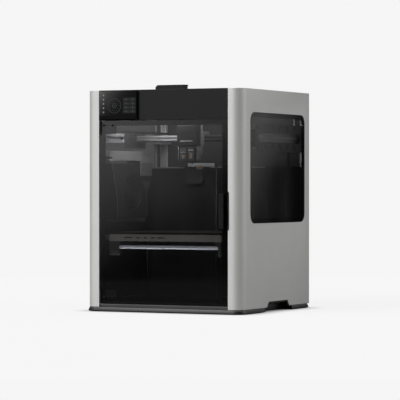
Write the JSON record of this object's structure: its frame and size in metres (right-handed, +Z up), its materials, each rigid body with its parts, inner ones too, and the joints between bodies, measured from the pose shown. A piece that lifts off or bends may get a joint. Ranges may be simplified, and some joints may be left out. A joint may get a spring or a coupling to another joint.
{
  "type": "enclosed fdm printer",
  "caption": "Enclosed desktop filament printer with a glass door, side windows, a belt gantry with a dual-nozzle toolhead, and a heated bed that rides on lead screws.",
  "frame": {"origin": "on the floor under the middle of the printer's bounding box", "axes": "+X to the printer's right, +Y to the back, +Z up; the front faces -Y"},
  "size_m": [0.497, 0.514, 0.641],
  "materials": {
    "silver_paint": "fine satin silver, bead-blasted look",
    "base_plastic": "satin grey",
    "rear_plastic": "satin dark grey",
    "rubber": "matt",
    "black_plastic": "satin black",
    "dark_plastic": "matt dark grey",
    "tinted_glass": "dark tinted, polished",
    "light_plastic": "matt light grey",
    "motor_metal": "black",
    "grey_metal": "satin anodised",
    "bright_steel": "bright",
    "heater_plate": "dark anodised",
    "textured_steel": "powder-coated spring steel",
    "brass": "satin"
  },
  "bodies": {
    "printer_frame": {"base_plinth": "base_plastic", "foot_1": "rubber", "foot_2": "rubber", "foot_3": "rubber", "foot_4": "rubber", "floor_pan": "dark_plastic", "side_panel_left": "silver_paint", "side_panel_right": "silver_paint", "side_window_left": "tinted_glass", "side_window_right": "tinted_glass", "front_header": "black_plastic", "chamber_front_frame": "black_plastic", "top_frame": "black_plastic", "rear_panel": "rear_plastic", "rear_cover": "dark_plastic", "power_inlet": "black_plastic", "chamber_back_wall": "dark_plastic", "purge_chute": "dark_plastic", "nozzle_wiper": "brass", "aux_fan_housing": "dark_plastic", "aux_duct": "light_plastic", "cable_guard": "dark_plastic", "y_rail_left": "grey_metal", "y_rail_right": "grey_metal", "drive_belt_left": "rubber", "drive_belt_right": "rubber", "xy_motor_left": "motor_metal", "xy_motor_right": "motor_metal", "y_cable_chain": "dark_plastic", "guide_rod_left": "bright_steel", "guide_rod_right": "bright_steel"},
    "door": {"door_glass": "tinted_glass", "door_handle": "dark_plastic", "door_hinge_top": "dark_plastic", "door_hinge_bottom": "dark_plastic"},
    "top_cover": {"top_cover_frame": "black_plastic", "top_glass": "tinted_glass", "camera_housing": "black_plastic"},
    "touchscreen": {"screen_housing": "black_plastic", "screen_glass": "tinted_glass"},
    "gantry": {"x_beam": "grey_metal", "gantry_carriage_left": "dark_plastic", "gantry_carriage_right": "dark_plastic"},
    "toolhead": {"toolhead_body": "dark_plastic", "toolhead_cover": "black_plastic", "hotend_left": "grey_metal"},
    "lifting_hotend": {"hotend_right": "grey_metal"},
    "cutter": {"cutter_lever": "dark_plastic"},
    "bed": {"bed_frame": "grey_metal", "bed_front_bar": "bright_steel", "heatbed": "heater_plate", "build_plate": "textured_steel"},
    "screw_left": {"lead_screw_left": "bright_steel"},
    "screw_right": {"lead_screw_right": "bright_steel"},
    "screw_rear": {"lead_screw_rear": "bright_steel"},
    "pulley_left": {"motor_pulley_left": "grey_metal"},
    "pulley_right": {"motor_pulley_right": "grey_metal"},
    "aux_rotor": {"aux_fan_rotor": "black_plastic"},
    "exhaust_rotor": {"exhaust_fan_rotor": "black_plastic"},
    "switch_rocker": {"power_switch": "black_plastic"}
  },
  "joints": [
    {"name": "door_hinge", "type": "hinge", "parent": "printer_frame", "child": "door", "pos_m": [-0.198, -0.2425, 0.28], "axis": [0, 0, -1], "range_deg": [0, 118]},
    {"name": "top_cover_lift", "type": "slide", "parent": "printer_frame", "child": "top_cover", "axis": [0, 0, 1], "range_m": [0, 0.08]},
    {"name": "screen_tilt", "type": "hinge", "parent": "printer_frame", "child": "touchscreen", "pos_m": [-0.1385, -0.249, 0.6235], "axis": [-1, 0, 0], "range_deg": [0, 30]},
    {"name": "gantry_y", "type": "slide", "parent": "printer_frame", "child": "gantry", "axis": [0, 1, 0], "range_m": [-0.1, 0.19], "deforming": ["y_cable_chain"]},
    {"name": "toolhead_x", "type": "slide", "parent": "gantry", "child": "toolhead", "axis": [1, 0, 0], "range_m": [-0.149, 0.135]},
    {"name": "hotend_lift", "type": "slide", "parent": "toolhead", "child": "lifting_hotend", "axis": [0, 0, 1], "range_m": [0, 0.003]},
    {"name": "cutter_press", "type": "slide", "parent": "toolhead", "child": "cutter", "axis": [1, 0, 0], "range_m": [0, 0.004], "stiffness_N_per_m": 600},
    {"name": "bed_z", "type": "slide", "parent": "printer_frame", "child": "bed", "axis": [0, 0, 1], "range_m": [-0.134, 0.189]},
    {"name": "screw_left_spin", "type": "hinge", "parent": "printer_frame", "child": "screw_left", "pos_m": [-0.214, -0.2, 0.2], "axis": [0, 0, 1], "range_deg": [-6050, 8525]},
    {"name": "screw_right_spin", "type": "hinge", "parent": "printer_frame", "child": "screw_right", "pos_m": [0.214, -0.2, 0.2], "axis": [0, 0, 1], "range_deg": [-6050, 8525]},
    {"name": "screw_rear_spin", "type": "hinge", "parent": "printer_frame", "child": "screw_rear", "pos_m": [0, 0.0985, 0.2], "axis": [0, 0, 1], "range_deg": [-6050, 8525]},
    {"name": "pulley_left_spin", "type": "hinge", "parent": "printer_frame", "child": "pulley_left", "pos_m": [-0.212, 0.181, 0.5125], "axis": [0, 0, 1], "range_deg": [-915, 1721]},
    {"name": "pulley_right_spin", "type": "hinge", "parent": "printer_frame", "child": "pulley_right", "pos_m": [0.212, 0.181, 0.5125], "axis": [0, 0, 1], "range_deg": [-1721, 915]},
    {"name": "aux_fan_spin", "type": "hinge", "parent": "printer_frame", "child": "aux_rotor", "pos_m": [-0.21, -0.065, 0.335], "axis": [1, 0, 0], "continuous": true},
    {"name": "exhaust_fan_spin", "type": "hinge", "parent": "printer_frame", "child": "exhaust_rotor", "pos_m": [0.1, 0.2, 0.5], "axis": [0, 1, 0], "continuous": true},
    {"name": "power_switch_rock", "type": "hinge", "parent": "printer_frame", "child": "switch_rocker", "pos_m": [-0.1225, 0.2495, 0.0825], "axis": [1, 0, 0], "range_deg": [-7, 7]}
  ],
  "couplings": [
    {"joint": "screw_left_spin", "follows": "bed_z", "rad_per_m": 785.4},
    {"joint": "screw_right_spin", "follows": "bed_z", "rad_per_m": 785.4},
    {"joint": "screw_rear_spin", "follows": "bed_z", "rad_per_m": 785.4},
    {"joint": "pulley_left_spin", "follows": "gantry_y", "rad_per_m": 156.25},
    {"joint": "pulley_right_spin", "follows": "gantry_y", "rad_per_m": -156.25}
  ]
}
